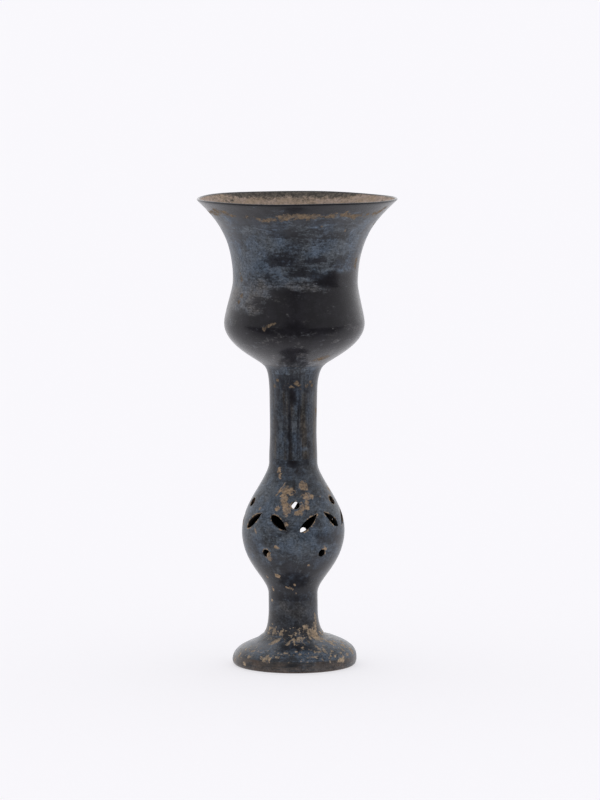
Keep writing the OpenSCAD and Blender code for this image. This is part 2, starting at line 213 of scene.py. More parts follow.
# Half the table's width, and how the table in front is dimmed where the cup mirrors it: from, to and by how much
TABLE_HALF = 16.0
DIM_NEAR, DIM_FAR, DIM_SHARE = -0.24, 0.03, 0.95


def size(name, description, mm):
    """A length property with its default in millimetres."""
    return FloatProperty(name=name, description=description, default=mm * MM, min=0.0, precision=5, unit="LENGTH")


def turn_angle(name, description, degrees):
    """An angle property with its default in degrees."""
    return FloatProperty(name=name, description=description, default=radians(degrees), subtype="ANGLE")


def share(name, description, default):
    """A property between nothing and all."""
    return FloatProperty(name=name, description=description, default=default, min=0.0, max=1.0, subtype="FACTOR")


def strength(name, description, default):
    """A property from nothing up."""
    return FloatProperty(name=name, description=description, default=default, min=0.0)


def colour(name, description, default):
    """A colour property."""
    return FloatVectorProperty(
        name=name, description=description, default=default, size=3, min=0.0, max=1.0, subtype="COLOR"
    )


class FootSizes(bpy.types.PropertyGroup):
    width: size("Width", "Diameter of the foot across its edge", 47.8)
    height: size("Height", "Height from the table to the seat of the lower stem", 12.5)
    edge_height: size("Edge height", "Height at which the edge of the foot is widest", 2.0)
    edge_round: size("Edge round", "How far the edge turns in where it meets the table", 1.4)
    shoulder: size("Shoulder", "How far the upright edge carries on before the dome leans in", 6.4)
    slope_reach: size("Slope reach", "Reach of the dome's slope out from the seat of the lower stem", 3.4)
    slope_drop: size("Slope drop", "Drop of the dome over that reach", 3.4)
    ring_width: size("Ring width", "Width of the flat ring that the cup stands on", 3.4)
    hub_width: size("Hub width", "Width of the ledge round the socket, under the dome", 2.2)


class LowerStemSizes(bpy.types.PropertyGroup):
    width: size("Width", "Diameter of the lower stem, and of the bulb's lower neck", 18.7)
    length: size("Length", "Length of the lower stem from the foot to the bulb", 13.1)
    flare_width: size("Flare width", "Diameter of the flare where it sits on the foot", 22.4)
    flare_height: size("Flare height", "Height of that flare", 8.7)
    flare_lean: size("Flare lean", "How far the flare leans in at its foot", 1.0)
    flare_rise: size("Flare rise", "How far it rises over that lean", 1.0)


class BulbSizes(bpy.types.PropertyGroup):
    width: size("Width", "Diameter of the bulb", 39.3)
    height: size("Height", "Height of the bulb between its two seams", 54.8)
    belly_height: size("Belly height", "Height of the widest line above the lower seam", 25.9)
    neck: size("Neck", "Straight length of each neck", 2.0)
    neck_sweep: size("Neck sweep", "How far a neck's upright line carries into the curve", 5.9)
    belly_sweep: size("Belly sweep", "How far the belly's upright line carries into the curve", 11.9)
    wall: size("Wall", "Wall of the bulb", 1.6)


class PiercingSizes(bpy.types.PropertyGroup):
    leaf_length: size("Leaf length", "Length of a leaf-shaped cut", 8.4)
    leaf_width: size("Leaf width", "Width of a leaf-shaped cut", 2.8)
    leaf_slant: turn_angle("Leaf slant", "Slant of a leaf above the level", 41)
    leaf_rise: size("Leaf rise", "Height of the leaves above the bulb's widest line", 5.7)
    leaf_turn: turn_angle("Leaf turn", "Turn from the middle of a motif to each of its two leaves", 18)
    upper_hole: size("Upper hole", "Diameter of the round holes above the leaves", 3.2)
    upper_rise: size("Upper rise", "Height of those holes above the bulb's widest line", 12.2)
    lower_hole: size("Lower hole", "Diameter of the round holes below the leaves", 2.8)
    lower_drop: size("Lower drop", "Depth of those holes below the bulb's widest line", 6.2)
    stray_rise: size("Stray rise", "Rise of the one lower hole that was cut too high, at the back", 3.6)


class UpperStemSizes(bpy.types.PropertyGroup):
    width: size("Width", "Diameter of the upper stem at the bulb, and of the bulb's upper neck", 18.2)
    length: size("Length", "Length of the upper stem from the bulb to the edge of the bowl's seat", 36.0)
    waist_width: size("Waist width", "Narrowest diameter of the upper stem", 17.7)
    waist_height: size("Waist height", "Height of that narrowest line above the bulb", 10.4)
    flare_drop: size("Flare drop", "How far below the edge of the bowl's seat the stem begins to flare", 8.3)
    flare_reach: size("Flare reach", "Reach of the flare's last slope, in from the edge of the seat", 3.6)
    flare_ease: turn_angle("Flare ease", "How much flatter the flare is than the bowl where the two meet", 6)
    lip_share: share("Lip share", "Share of the flare that is the stem's own clay, below the slip's fillet", 0.7)


class BowlSizes(bpy.types.PropertyGroup):
    seat_width: size("Seat width", "Diameter of the seat where the bowl meets the stem", 24.1)
    bottom_radius: size("Bottom radius", "Radius of the round bottom that nests in the seat", 18.5)
    height: size("Height", "Height of the bowl from the edge of its seat to the rim", 62.7)
    belly_height: size("Belly height", "Height of the belly above the edge of the seat", 15.8)
    belly_width: size("Belly width", "Diameter of the belly", 53.7)
    waist_height: size("Waist height", "Height of the waist above the edge of the seat", 31.7)
    waist_width: size("Waist width", "Diameter of the waist", 47.7)
    rim_width: size("Rim width", "Diameter of the rim", 75.8)
    rim_slope: turn_angle("Rim slope", "Slope of the wall at the rim, above the level", 43)
    rim_sweep: size("Rim sweep", "Length of the flare's last slope", 14.4)
    waist_sweep: size("Waist sweep", "How far the waist's upright line carries into the flare", 12.1)
    underside_sweep: size("Underside sweep", "How far the underside keeps its slope past the seat", 3.8)
    belly_sweep: size("Belly sweep", "How far the belly's upright line carries down into the underside", 8.2)
    wall_sweep: size("Wall sweep", "How far the upright lines carry into the wall between belly and waist", 3.4)
    floor: size("Floor", "Thickness of the bowl's floor", 2.2)
    wall: size("Wall", "Wall of the bowl at its belly", 1.5)
    rim_wall: size("Rim wall", "Wall of the bowl at its rim", 0.9)


class JointSizes(bpy.types.PropertyGroup):
    bore: size("Bore", "Bore of the hollow stem", 13.0)
    spigot_wall: size("Spigot wall", "Wall of a spigot", 1.0)
    spigot_length: size("Spigot length", "Length of a spigot in its socket", 4.0)
    slip: size("Slip", "Thickness of the slip that fills a joint", 0.3)
    fillet_edge: size("Fillet edge", "Thickness of the slip's fillet where it is smoothed on to the bowl", 0.03)


class WareColours(bpy.types.PropertyGroup):
    burnished: colour("Burnished", "Black of the burnished clay", (0.0108, 0.0101, 0.0130))
    bloom: colour("Bloom", "Blue-grey of the worn and weathered clay", (0.106, 0.131, 0.167))
    earth: colour("Earth", "Ochre of the earth round the rim", (0.215, 0.158, 0.105))
    patch: colour("Patch", "Paler ochre of the earth on the bulb and the upper stem", (0.437, 0.314, 0.207))
    soil: colour("Soil", "Paler buff of the soil inside the bowl", (0.425, 0.329, 0.246))
    worn: colour("Worn", "Neutral grey of the worn stem", (0.108, 0.116, 0.131))
    dust: colour("Dust", "Pale tan of the crumbs on the foot", (0.540, 0.414, 0.288))
    core: colour("Core", "Dull grey of the unburnished clay inside", (0.075, 0.070, 0.066))
    edge: colour("Edge", "Brown-grey of the worn edge of the foot", (0.150, 0.124, 0.110))
    edge_grey: colour("Edge grey", "Grey streaks on that edge", (0.066, 0.07, 0.079))
    rust: colour("Rust", "Red-brown where the foot meets the table, and in the cuts", (0.110, 0.066, 0.045))
    soot: colour("Soot", "Sooty black in the cuts and the hollow of the bulb", (0.014, 0.013, 0.013))
    film: colour("Film", "Grey wear on the lower part of the bowl", (0.155, 0.157, 0.168))
    stripe_blue: colour("Blue stripe", "Blue stripes up the stem", (0.097, 0.119, 0.152))
    stripe_brown: colour("Brown stripe", "Brown stripes up the stem", (0.118, 0.109, 0.098))
    pink_soil: colour("Pink soil", "Pinker patches of the soil inside the bowl", (0.475, 0.375, 0.315))
    grime: colour("Grime", "Dark grey where that soil is thin", (0.075, 0.069, 0.061))
    thin_soil: colour("Thin soil", "Paler grains on the grime", (0.19, 0.168, 0.142))


class StudioSettings(bpy.types.PropertyGroup):
    distance: size("Camera distance", "Level distance from the camera to the cup's axis", 1744.3)
    height: size("Camera height", "Height of the camera above the table", 302.7)
    aim: FloatVectorProperty(
        name="Aim", description="Point that the camera looks at", default=(0.0021, 0.0, 0.1024), size=3,
        subtype="XYZ", unit="LENGTH",
    )
    lens: FloatProperty(name="Lens", description="Focal length in millimetres", default=205.8, min=1.0)
    floor: colour("Floor", "Colour of the table and backdrop", (0.50, 0.495, 0.51))
    light: colour("Light", "Colour of the surroundings", (0.985, 0.98, 1.0))
    glow: strength("Glow", "Light that comes up through the table", 1.12)
    sky: strength("Sky", "Strength of the white surroundings", 1.3)
    side: strength("Side", "Strength of the dimmer surroundings at the front", 0.54)
    front: strength("Front", "Strength of the dark place round the camera", 0.02)


class CupSettings(bpy.types.PropertyGroup):
    foot: PointerProperty(type=FootSizes)
    lower_stem: PointerProperty(type=LowerStemSizes)
    bulb: PointerProperty(type=BulbSizes)
    piercing: PointerProperty(type=PiercingSizes)
    upper_stem: PointerProperty(type=UpperStemSizes)
    bowl: PointerProperty(type=BowlSizes)
    joints: PointerProperty(type=JointSizes)
    colours: PointerProperty(type=WareColours)
    studio: PointerProperty(type=StudioSettings)
    steps: IntProperty(name="Steps", description="Steps round the wheel", default=192, min=24)


def line_of(*pairs):
    """A line through points given by their radii and heights."""
    return [Vector(pair) for pair in pairs]


def on_curve(p, t):
    """Point at share t of a curve with four control points."""
    return (1 - t) ** 3 * p[0] + 3 * (1 - t) ** 2 * t * p[1] + 3 * (1 - t) * t * t * p[2] + t ** 3 * p[3]


def curve(points, start=0.0, end=1.0, steps=28):
    """Points along a curve between two shares of it."""
    p = line_of(*points)
    return [on_curve(p, start + (end - start) * i / steps) for i in range(steps + 1)]


def upright(low, high, low_sweep, high_sweep):
    """Control points of a curve that leaves and arrives upright."""
    return low, (low[0], low[1] + low_sweep), (high[0], high[1] - high_sweep), high


def inset(line, distance):
    """The line moved to its left, by one distance or by one for each point."""
    moved = []
    for i, point in enumerate(line):
        ahead, behind = line[min(i + 1, len(line) - 1)], line[max(i - 1, 0)]
        along = (ahead - behind).normalized()
        d = distance[i] if isinstance(distance, list) else distance
        moved.append(point + d * Vector((-along.y, along.x)))
    return moved


def between(table, x):
    """Value at x of a table of (x, value) pairs, with smooth steps between them."""
    if x <= table[0][0]:
        return table[0][1]
    for (x0, v0), (x1, v1) in zip(table, table[1:]):
        if x <= x1:
            t = (x - x0) / (x1 - x0)
            return v0 + (v1 - v0) * t * t * (3 - 2 * t)
    return table[-1][1]


class CupShape:
    """The cup's lines as (radius, height) points in metres, worked out from its sizes."""

    def __init__(self, cup):
        foot, low, bulb = cup.foot, cup.lower_stem, cup.bulb
        up, bowl, joints = cup.upper_stem, cup.bowl, cup.joints
        self.cup = cup
        self.bore = joints.bore / 2
        self.spigot = self.bore + joints.spigot_wall
        self.socket = self.spigot + joints.slip
        self.lower_stem_z = foot.height
        self.bulb_z = self.lower_stem_z + low.length
        self.upper_stem_z = self.bulb_z + bulb.height
        self.seat_z = self.upper_stem_z + up.length
        self.bulb_belly_z = self.bulb_z + bulb.belly_height
        self.belly_z = self.seat_z + bowl.belly_height
        self.waist_z = self.seat_z + bowl.waist_height
        self.rim_z = self.seat_z + bowl.height
        self.seat_angle = asin(bowl.seat_width / 2 / bowl.bottom_radius)
        self.bore_angle = asin(self.bore / (bowl.bottom_radius + joints.slip))
        self.bottom_z = self.seat_z + bowl.bottom_radius * cos(self.seat_angle)
        self.foot_lines()
        self.stem_lines()
        self.bulb_lines()
        self.bowl_lines()

    def bottom_arc(self, r, start, end, steps=12):
        """Points round the bowl's bottom at radius r, between two angles from straight down."""
        angles = [start + (end - start) * i / steps for i in range(steps + 1)]
        return [Vector((r * sin(a), self.bottom_z - r * cos(a))) for a in angles]

    def spigot_line(self, seam, up):
        """The outside, end and bore of a spigot above a seam, or below it where up is -1."""
        end = seam + up * self.cup.joints.spigot_length
        return line_of((self.spigot, seam), (self.spigot, end), (self.bore, end))

    def foot_lines(self):
        foot, joints = self.cup.foot, self.cup.joints
        r, top, flare = foot.width / 2, foot.height - joints.slip, self.cup.lower_stem.flare_width / 2
        edge = [
            Vector((r - foot.edge_round * (1 - sin(a)), foot.edge_height * (1 - cos(a))))
            for a in (pi / 2 * i / 10 for i in range(11))
        ]
        dome = curve((
            (r, foot.edge_height), (r, foot.edge_height + foot.shoulder),
            (flare + foot.slope_reach, top - foot.slope_drop), (flare, top),
        ), steps=40)
        hollow, hub = r - foot.edge_round - foot.ring_width, self.socket + foot.hub_width
        hub_z = top - joints.spigot_length
        self.foot_outer = edge + dome[1:]
        self.foot_inner = line_of((self.socket, top), (self.socket, hub_z)) + curve(
            ((hub, hub_z), ((hollow + hub) / 2, hub_z), (hollow, hub_z / 2), (hollow, 0))
        )

    def stem_lines(self):
        low, up, joints = self.cup.lower_stem, self.cup.upper_stem, self.cup.joints
        z, flare, r = self.lower_stem_z, low.flare_width / 2, low.width / 2
        self.lower_outer = curve((
            (flare, z), (flare - low.flare_lean, z + low.flare_rise), (r, z + low.flare_height / 2),
            (r, z + low.flare_height),
        )) + line_of((r, self.bulb_z))
        z, waist = self.upper_stem_z, Vector((up.waist_width / 2, self.upper_stem_z + up.waist_height))
        third = up.waist_height / 3
        lower = curve(upright((up.width / 2, z), tuple(waist), third, third))
        seat_edge = Vector((self.cup.bowl.seat_width / 2, self.seat_z))
        out = Vector((sin(self.seat_angle), -cos(self.seat_angle)))
        fillet = seat_edge + joints.fillet_edge * out
        lean = self.seat_angle - up.flare_ease
        back = up.flare_reach * Vector((cos(lean), sin(lean)))
        self.flare = [waist, Vector((waist.x, self.seat_z - up.flare_drop)), fillet - back, fillet]
        self.upper_outer = lower + curve(self.flare, 0, up.lip_share)[1:]
        lip = self.upper_outer[-1]
        self.lip_angle = atan2(lip.x, self.bottom_z - lip.y)

    def bulb_lines(self):
        bulb = self.cup.bulb
        low = (self.cup.lower_stem.width / 2, self.bulb_z + bulb.neck)
        high = (self.cup.upper_stem.width / 2, self.upper_stem_z - bulb.neck)
        belly = (bulb.width / 2, self.bulb_belly_z)
        self.bulb_curve = curve(upright(low, belly, bulb.neck_sweep, bulb.belly_sweep), steps=52)
        self.bulb_curve += curve(upright(belly, high, bulb.belly_sweep, bulb.neck_sweep), steps=52)[1:]
        slip = self.cup.joints.slip
        bottom, top = self.bulb_z + slip, self.upper_stem_z - slip
        self.bulb_outer = line_of((low[0], bottom)) + self.bulb_curve + line_of((high[0], top))
        hollow = [Vector((max(p.x, self.socket), p.y)) for p in inset(self.bulb_curve[::3], bulb.wall)]
        self.bulb_inner = line_of((self.socket, top)) + hollow[::-1] + line_of((self.socket, bottom))

    def bowl_lines(self):
        bowl = self.cup.bowl
        seat = Vector((bowl.seat_width / 2, self.seat_z))
        slope = Vector((cos(self.seat_angle), sin(self.seat_angle)))
        belly = (bowl.belly_width / 2, self.belly_z)
        waist = (bowl.waist_width / 2, self.waist_z)
        rim = Vector((bowl.rim_width / 2, self.rim_z))
        last = bowl.rim_sweep * Vector((cos(bowl.rim_slope), sin(bowl.rim_slope)))
        bottom = bowl.bottom_radius
        line = self.bottom_arc(bottom, 0, self.bore_angle, 8)
        line += self.bottom_arc(bottom, self.bore_angle, self.seat_angle)[1:]
        line += curve((seat, seat + bowl.underside_sweep * slope, (belly[0], belly[1] - bowl.belly_sweep), belly))[1:]
        line += curve(upright(belly, waist, bowl.wall_sweep, bowl.wall_sweep))[1:]
        line += curve((waist, (waist[0], waist[1] + bowl.waist_sweep), rim - last, rim), steps=40)[1:]
        walls = ((line[0].y, bowl.floor), (self.belly_z, bowl.wall), (self.rim_z, bowl.rim_wall))
        inner = inset(line, [between(walls, p.y) for p in line])
        inner[0] = line[0] + Vector((0, bowl.floor))
        middle = (line[-1] + inner[-1]) / 2
        out, along = line[-1] - middle, (line[-1] - line[-2]).normalized() * bowl.rim_wall / 2
        self.bowl_outer, self.bowl_inner = line, inner
        self.bowl_lip = [middle + cos(a) * out + sin(a) * along for a in (pi * i / 8 for i in range(1, 8))]


def settle(point):
    """Where a point of the truly turned cup lies on the hand-made one."""
    x, y, z = point
    r, turn, height = hypot(x, y), atan2(x, -y), z / MM
    rim = between(RIM_ZONE, height)
    dome = between(DOME_ZONE, height) * between(DOME_REACH, r / MM)
    wave = OVAL * sin(2 * turn + height / 23) + THREE_SIDED * sin(3 * turn - height / 17)
    swell = 1 + wave * between(ROUND_ZONE, height) + between(SWELL, height) * MM / max(r, 5 * MM)
    lift = rim * (RIM_LIFT + RIM_FRONT * cos(turn) + RIM_WAVE * (sin(2 * turn + 0.6) + 0.6 * sin(5 * turn)))
    lift += dome * sin(turn) * (DOME_RIGHT if x > 0 else DOME_LEFT)
    return Vector((x * swell + between(LEAN, height) * MM, y * swell, z + lift * MM))


def finer(line, marks):
    """The line with points added on its long straight stretches."""
    points, tags = [line[0]], [marks[0]]
    for a, b, tag_a, tag_b in zip(line, line[1:], marks, marks[1:]):
        parts = max(1, round((b - a).length / LONGEST))
        for i in range(1, parts + 1):
            points.append(a.lerp(b, i / parts))
            tags.append(tag_a + (tag_b - tag_a) * i / parts)
    return points, tags


def in_order(bm):
    """Sorts points by place, and edges and faces by their points, so that each run gives the same mesh."""
    def by_points(element):
        return sorted(vert.index for vert in element.verts)

    for elements, key in ((bm.verts, lambda vert: tuple(vert.co)), (bm.edges, by_points), (bm.faces, by_points)):
        for i, element in enumerate(sorted(elements, key=key)):
            element.index = i
        elements.sort()


def turned(line, marks, steps, closed=True):
    """A line spun round the wheel. marks, one for each point, are kept as how far inside the point lies."""
    line, marks = finer(line, marks)
    bm = bmesh.new()
    layer = bm.verts.layers.float.new("inside")
    verts = [bm.verts.new((0, -p.x, p.y)) for p in line]
    for vert, mark in zip(verts, marks):
        vert[layer] = mark
    ends = zip(verts, verts[1:] + verts[:1]) if closed else zip(verts, verts[1:])
    edges = [bm.edges.new(pair) for pair in ends]
    bmesh.ops.spin(
        bm, geom=verts + edges, cent=(0, 0, 0), axis=(0, 0, 1), angle=2 * pi, steps=steps, use_merge=True
    )
    bmesh.ops.remove_doubles(bm, verts=bm.verts, dist=MERGE)
    bmesh.ops.recalc_face_normals(bm, faces=bm.faces)
    in_order(bm)
    return bm


def tube(outer, inner, steps):
    """A closed wall between an outer line and an inner line that runs back to its start."""
    return turned(outer + inner, [0.0] * len(outer) + [1.0] * len(inner), steps)


def place(bm, name, node, clay):
    """Makes the finished mesh a piece that stands for its node."""
    for vert in bm.verts:
        vert.co = settle(vert.co)
    mesh = bpy.data.meshes.new(name)
    bm.to_mesh(mesh)
    bm.free()
    mesh.shade_smooth()
    mesh.set_sharp_from_angle(angle=SHARP)
    mesh.materials.append(clay)
    piece = bpy.data.objects.new(name, mesh)
    bpy.context.scene.collection.objects.link(piece)
    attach(piece, "root")
    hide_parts(node)


def leaf_outline(length, width, widest, blunt):
    """Points round a leaf: pointed ends, widest off its middle, its first end more or less blunt."""
    first, last = Vector((-length / 2, 0)), Vector((length / 2, 0))
    top = Vector((widest * length / 2, width / 2))
    before, after = (top + LEAF_TOP * Vector((end.x - top.x, 0)) for end in (first, last))
    start = first.lerp(before, LEAF_TIP).lerp(first + Vector((0, LEAF_BLUNT * width)), blunt)
    upper = curve((first, start, before, top), steps=9)
    upper += curve((top, after, last.lerp(after, LEAF_TIP), last), steps=9)[1:]
    return upper + [Vector((p.x, -p.y)) for p in upper[-2:0:-1]]


def leaf_cut(cutter, outline, slant, matrix):
    """Adds a leaf-shaped cut to the cutter: its outline filled and drawn out."""
    bm = bmesh.new()
    verts = [bm.verts.new((p.x, p.y, 0)) for p in outline]
    bmesh.ops.contextual_create(bm, geom=verts)
    draw_out(bm, Matrix.Rotation(slant, 4, "Z"))
    add_to(cutter, bm, matrix)


def hole_cut(cutter, width, matrix):
    """Adds a round cut to the cutter."""
    bm = bmesh.new()
    bmesh.ops.create_circle(bm, cap_ends=True, segments=32, radius=width / 2)
    draw_out(bm, Matrix.Identity(4))
    add_to(cutter, bm, matrix)


def draw_out(bm, turn):
    """Draws a flat shape out to the reach of a cut."""
    drawn = bmesh.ops.extrude_face_region(bm, geom=bm.faces[:])["geom"]
    moved = [v for v in drawn if isinstance(v, bmesh.types.BMVert)]
    bmesh.ops.translate(bm, verts=moved, vec=(0, 0, 2 * CUT_REACH))
    bmesh.ops.translate(bm, verts=bm.verts, vec=(0, 0, -CUT_REACH))
    bmesh.ops.transform(bm, matrix=turn, verts=bm.verts)
    bmesh.ops.recalc_face_normals(bm, faces=bm.faces)


def add_to(cutter, bm, matrix):
    """Puts a cut in its place and adds it to the cutter."""
    bmesh.ops.transform(bm, matrix=matrix, verts=bm.verts)
    mesh = bpy.data.meshes.new("cut")
    bm.to_mesh(mesh)
    bm.free()
    cutter.from_mesh(mesh)
    bpy.data.meshes.remove(mesh)


def cut_place(shape, turn, height, tilt):
    """Where a cut lies on the bulb: turned from the front, at a height, tilted as the blade was held."""
    r = between([(p.y, p.x) for p in shape.bulb_curve], height)
    return (
        Matrix.Rotation(turn, 4, "Z") @ Matrix.Translation((0, -r, height))
        @ Matrix.Rotation(pi / 2 - radians(tilt), 4, "X")
    )


def piercings(shape):
    """All the cuts through the bulb's wall."""
    sizes, belly = shape.cup.piercing, shape.bulb_belly_z
    cutter = bmesh.new()
    for i, degrees in enumerate(MOTIF_TURNS):
        for side in (-1, 1):
            turn, rise, length, width, widest, blunt, steeper = HAND_LEAVES[i, side]
            outline = leaf_outline(sizes.leaf_length * length, sizes.leaf_width * width, widest, blunt)
            turn = radians(degrees + turn) + side * sizes.leaf_turn
            spot_on_bulb = cut_place(shape, turn, belly + sizes.leaf_rise + rise * MM, LEAF_TILT)
            leaf_cut(cutter, outline, side * (sizes.leaf_slant + radians(steeper)), spot_on_bulb)
        turn, rise, width = HAND_HOLES[i]
        height = belly + sizes.upper_rise + rise * MM
        spot_on_bulb = cut_place(shape, radians(degrees + turn), height, UPPER_HOLE_TILT)
        hole_cut(cutter, sizes.upper_hole * width, spot_on_bulb)
    for i, degrees in enumerate(LOWER_HOLE_TURNS):
        height = belly - sizes.lower_drop + (sizes.stray_rise if i == STRAY_HOLE else 0)
        spot_on_bulb = cut_place(shape, radians(degrees), height, LOWER_HOLE_TILT)
        hole_cut(cutter, sizes.lower_hole * LOWER_HOLE_WIDTHS[i], spot_on_bulb)
    return cutter


def cut_through(shell, cutter):
    """The shell with the cutter taken out of it. Faces left by the cut have material 1."""
    for face in cutter.faces:
        face.material_index = 1
    objects = []
    for name, bm in (("uncut", shell), ("cutter", cutter)):
        mesh = bpy.data.meshes.new(name)
        bm.to_mesh(mesh)
        bm.free()
        for slot in ("wall", "cut"):
            mesh.materials.append(bpy.data.materials.get(slot) or bpy.data.materials.new(slot))
        objects.append(bpy.data.objects.new(name, mesh))
        bpy.context.scene.collection.objects.link(objects[-1])
    uncut, tool = objects
    cut = uncut.modifiers.new("Piercing", "BOOLEAN")
    cut.operation, cut.solver, cut.object = "DIFFERENCE", "EXACT", tool
    seen = uncut.evaluated_get(bpy.context.evaluated_depsgraph_get())
    bm = bmesh.new()
    bm.from_mesh(seen.to_mesh())
    seen.to_mesh_clear()
    for done in objects:
        mesh = done.data
        bpy.data.objects.remove(done)
        bpy.data.meshes.remove(mesh)
    for slot in ("wall", "cut"):
        bpy.data.materials.remove(bpy.data.materials[slot])
    bmesh.ops.remove_doubles(bm, verts=bm.verts, dist=MERGE)
    in_order(bm)
    return bm


def earth_lump(bm, shape):
    """Adds the lump of earth that sits in the lower left hole."""
    turn, height, half = LUMP
    lump = bmesh.new()
    bmesh.ops.create_icosphere(lump, subdivisions=3, radius=1.0)
    for vert in lump.verts:
        coarse, fine = (much * noise.noise(vert.co * often) for much, often in (LUMP_COARSE, LUMP_FINE))
        vert.co *= 1 + coarse + fine
    bmesh.ops.scale(lump, vec=[side * MM for side in half], verts=lump.verts)
    matrix = cut_place(shape, radians(turn), height * MM, LOWER_HOLE_TILT)
    add_to(bm, lump, matrix @ Matrix.Translation((0, 0, -LUMP_SUNK)))


def mark_cut_edges(bm, shape):
    """Keeps each point's distance from the nearest cut edge, and whether it lies inside the wall."""
    rims = [e for e in bm.edges if len({f.material_index for f in e.link_faces}) == 2]
    points = [e.verts[0].co.lerp(e.verts[1].co, t) for e in rims for t in (0.0, 0.5)]
    tree = KDTree(len(points))
    for i, point in enumerate(points):
        tree.insert(point, i)
    tree.balance()
    outer = [(p.y, p.x) for p in shape.bulb_outer]
    edge = bm.verts.layers.float.new("cut_edge")
    inside = bm.verts.layers.float.get("inside") or bm.verts.layers.float.new("inside")
    for vert in bm.verts:
        vert[edge] = min(tree.find(vert.co)[2] / MM, EDGE_REACH)
        depth = between(outer, vert.co.z) - hypot(vert.co.x, vert.co.y)
        vert[inside] = min(max(depth / shape.cup.bulb.wall, 0.0), 1.0)
    for face in bm.faces:
        face.material_index = 0


class Wiring:
    """Adds nodes to a tree and joins them, so that a finish reads from top to bottom."""

    def __init__(self, tree):
        self.tree = tree

    def add(self, kind, inputs=None, **settings):
        node = self.tree.nodes.new(kind)
        for key, value in settings.items():
            setattr(node, key, value)
        for key, value in (inputs or {}).items():
            if isinstance(value, bpy.types.NodeSocket):
                self.tree.links.new(value, node.inputs[key])
            else:
                node.inputs[key].default_value = (*value, 1) if isinstance(value, Color) else value
        return node

    def math(self, operation, a, b=0.0):
        return self.add("ShaderNodeMath", {0: a, 1: b}, operation=operation).outputs[0]

    def times(self, a, b):
        return self.math("MULTIPLY", a, b)

    def plus(self, a, b):
        return self.math("ADD", a, b)

    def minus(self, a, b):
        return self.math("SUBTRACT", a, b)

    def most(self, a, b):
        return self.math("MAXIMUM", a, b)

    def parts(self, point):
        return self.add("ShaderNodeSeparateXYZ", {0: point}).outputs

    def combined(self, *values):
        return self.add("ShaderNodeCombineXYZ", dict(enumerate(values))).outputs[0]

    def vector(self, operation, a, b=(0, 0, 0)):
        return self.add("ShaderNodeVectorMath", {0: a, 1: b}, operation=operation).outputs[0]

    def measure(self, operation, a, b=(0, 0, 0)):
        return self.add("ShaderNodeVectorMath", {0: a, 1: b}, operation=operation).outputs["Value"]

    def noise(self, point, scale, detail, roughness, output="Fac"):
        inputs = {"Vector": point, "Scale": scale, "Detail": detail, "Roughness": roughness}
        return self.add("ShaderNodeTexNoise", inputs).outputs[output]

    def centred(self, point, scale, detail, roughness):
        """Noise about nothing."""
        return self.minus(self.noise(point, scale, detail, roughness), 0.5)

    def step(self, value, low, high, start=0.0, end=1.0):
        inputs = {"Value": value, "From Min": low, "From Max": high, "To Min": start, "To Max": end}
        return self.add("ShaderNodeMapRange", inputs, interpolation_type="SMOOTHSTEP").outputs[0]

    def mix(self, part, a, b):
        return self.add("ShaderNodeMix", {0: part, 6: a, 7: b}, data_type="RGBA").outputs[2]

    def scaled(self, value, factor):
        return self.add("ShaderNodeVectorMath", {0: value, "Scale": factor}, operation="SCALE").outputs[0]

    def ramp(self, value, stops):
        """A value read from (position, value) stops with straight lines between them."""
        node = self.add("ShaderNodeValToRGB", {0: value})
        elements = node.color_ramp.elements
        while len(elements) < len(stops):
            elements.new(0.5)
        for element, (position, level) in zip(elements, stops):
            element.position = position
            element.color = (level, level, level, 1)
        return node.outputs[0]

    def attribute(self, name):
        return self.add("ShaderNodeAttribute", attribute_name=name).outputs["Fac"]

    def join(self, node, values):
        """Joins values to the inputs of a shader, or of a group's output node, by name."""
        for name, value in values.items():
            self.tree.links.new(value, node.inputs[name])

    def group(self, tree, **inputs):
        names = {key.replace("_", " ").capitalize(): value for key, value in inputs.items()}
        return self.add("ShaderNodeGroup", names, node_tree=tree).outputs


def effect(name, inputs, outputs):
    """A new node group with sockets by name and kind. Returns its wiring, its inputs and its output node."""
    tree = bpy.data.node_groups.new(name, "ShaderNodeTree")
    for way, sockets in (("INPUT", inputs), ("OUTPUT", outputs)):
        for socket, kind in sockets.items():
            tree.interface.new_socket(socket, in_out=way, socket_type=kind)
    wires = Wiring(tree)
    return wires, wires.add("NodeGroupInput").outputs, wires.add("NodeGroupOutput")


VALUE, VECTOR, COLOUR = "NodeSocketFloat", "NodeSocketVector", "NodeSocketColor"


def wheel_marks():
    """Places on the cup: the point, the point stretched round the wheel or up the wall, the height in
    millimetres, and the height as a share of the cup's with its level lines swayed a little."""
    outputs = {"Point": VECTOR, "Level": VECTOR, "Broad": VECTOR, "Upright": VECTOR, "Height": VALUE, "Zone": VALUE}
    w, _, out = effect("wheel marks", {}, outputs)
    point = w.add("ShaderNodeTexCoord").outputs["Object"]
    parts = w.parts(point)
    ring = w.scaled(w.vector("NORMALIZE", w.combined(parts[0], parts[1])), STREAK_RING)

    def stretched(height_scale):
        return w.vector("ADD", ring, w.combined(0.0, 0.0, w.times(parts[2], height_scale)))

    sway = w.times(w.centred(point, 60, 5, 0.6), 0.05)
    w.join(out, {
        "Point": point, "Level": stretched(5.0), "Broad": stretched(1.9), "Upright": stretched(0.14),
        "Height": w.times(parts[2], 1 / MM), "Zone": w.plus(w.times(parts[2], 1 / CUP_HEIGHT), sway),
    })
    return w.tree


def spot():
    """How near a point is to the middle of a mark: one at its middle and nothing at its edge. Across, Out and Up
    are the mark's axes, each divided by its half size."""
    axes = ("Across", "Out", "Up")
    w, given, out = effect("spot", dict.fromkeys(("Point", "Centre", *axes), VECTOR), {"Nearness": VALUE})
    off = w.vector("SUBTRACT", given["Point"], given["Centre"])
    local = w.combined(*(w.measure("DOT_PRODUCT", off, given[axis]) for axis in axes))
    w.join(out, {"Nearness": w.minus(1.0, w.measure("LENGTH", local))})
    return w.tree


